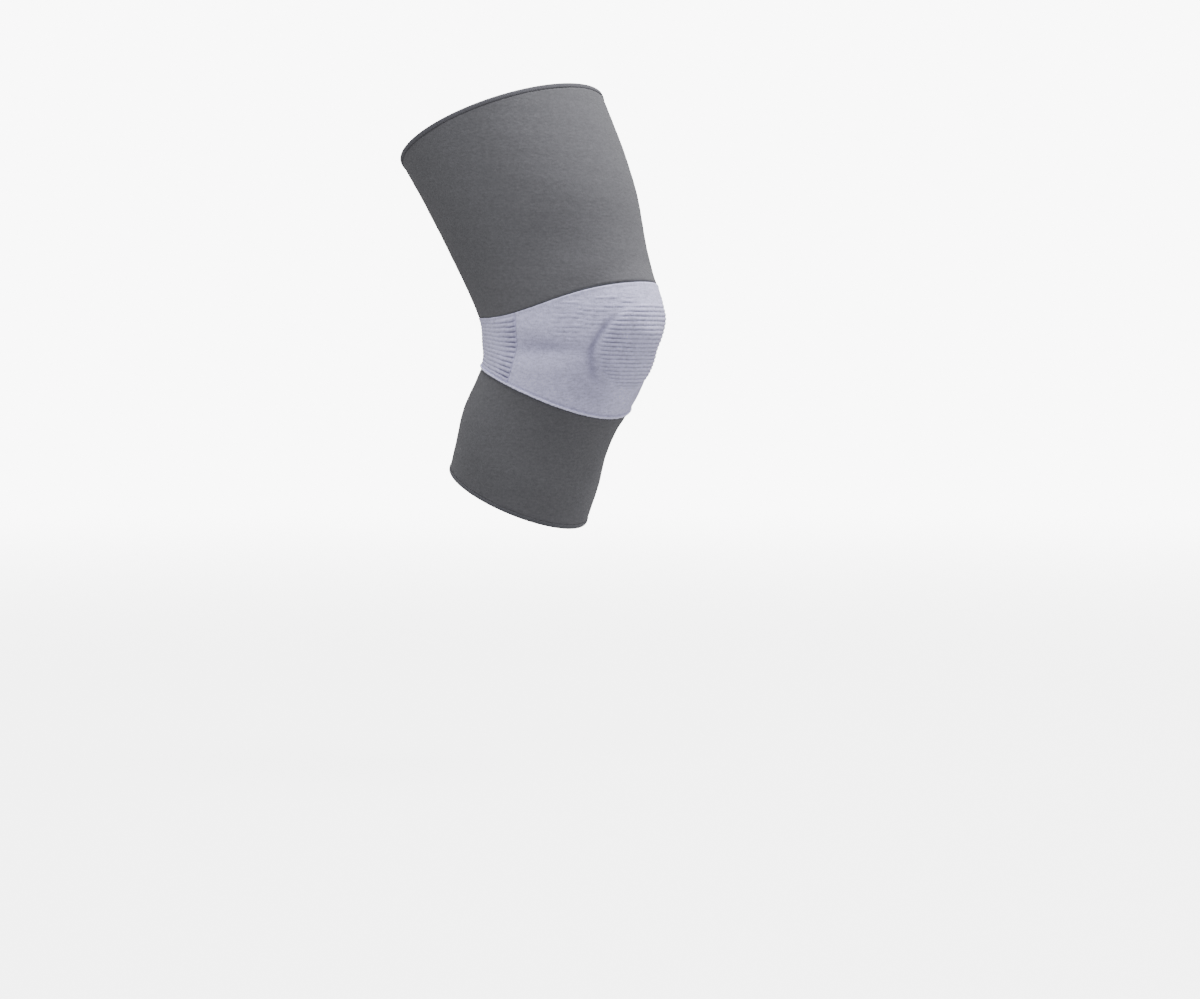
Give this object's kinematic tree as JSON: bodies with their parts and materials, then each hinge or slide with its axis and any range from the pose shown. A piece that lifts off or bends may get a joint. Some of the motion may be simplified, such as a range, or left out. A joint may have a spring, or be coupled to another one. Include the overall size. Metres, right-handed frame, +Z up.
{
  "type": "knee sleeve",
  "caption": "Knitted elastic knee sleeve in the form it takes on a slightly bent leg, grey above and below a pale ribbed knee band with a soft kneecap ring inside.",
  "frame": {"origin": "middle of the leg's hollow at the knee, on the leg's axis, where the thigh's and the calf's axes meet in their arc", "axes": "+Z up, +X to the sleeve's left, -Y forward through the kneecap"},
  "size_m": [0.1398, 0.1934, 0.2951],
  "materials": {
    "dark_edge": "soft knit",
    "grey_knit": "soft knit",
    "pale_knit": "soft knit",
    "soft_pad": "matte"
  },
  "bodies": {
    "root": {"top_hem": "dark_edge", "thigh_section": "grey_knit", "knee_front": "pale_knit", "back_panel": "pale_knit", "patella_ring": "soft_pad", "calf_section": "grey_knit", "bottom_hem": "dark_edge"}
  },
  "joints": []
}
